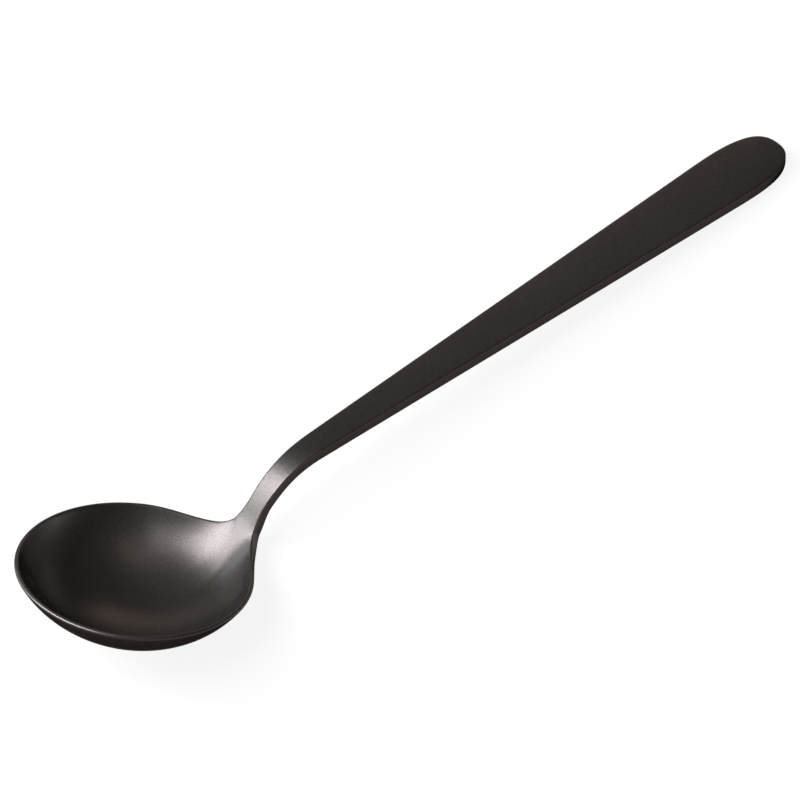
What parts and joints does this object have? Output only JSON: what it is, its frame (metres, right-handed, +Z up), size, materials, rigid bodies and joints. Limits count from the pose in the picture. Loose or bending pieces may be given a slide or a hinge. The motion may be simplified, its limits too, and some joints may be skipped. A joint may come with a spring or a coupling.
{
  "type": "cupping spoon",
  "caption": "Tasting spoon with a round deep bowl, a narrow bent neck and a flat tapering handle with a rounded end, coated satin black.",
  "frame": {"origin": "on the table, under the middle of the spoon's box as it lies at rest on the bowl's bottom and the handle's end", "axes": "+X from the bowl along the spoon to the handle's end, +Y across it, +Z up out of the bowl"},
  "size_m": [0.1704, 0.0412, 0.0216],
  "materials": {
    "black_coat": "satin, finely bead-blasted"
  },
  "bodies": {
    "root": {"bowl": "black_coat", "handle": "black_coat"}
  },
  "joints": []
}
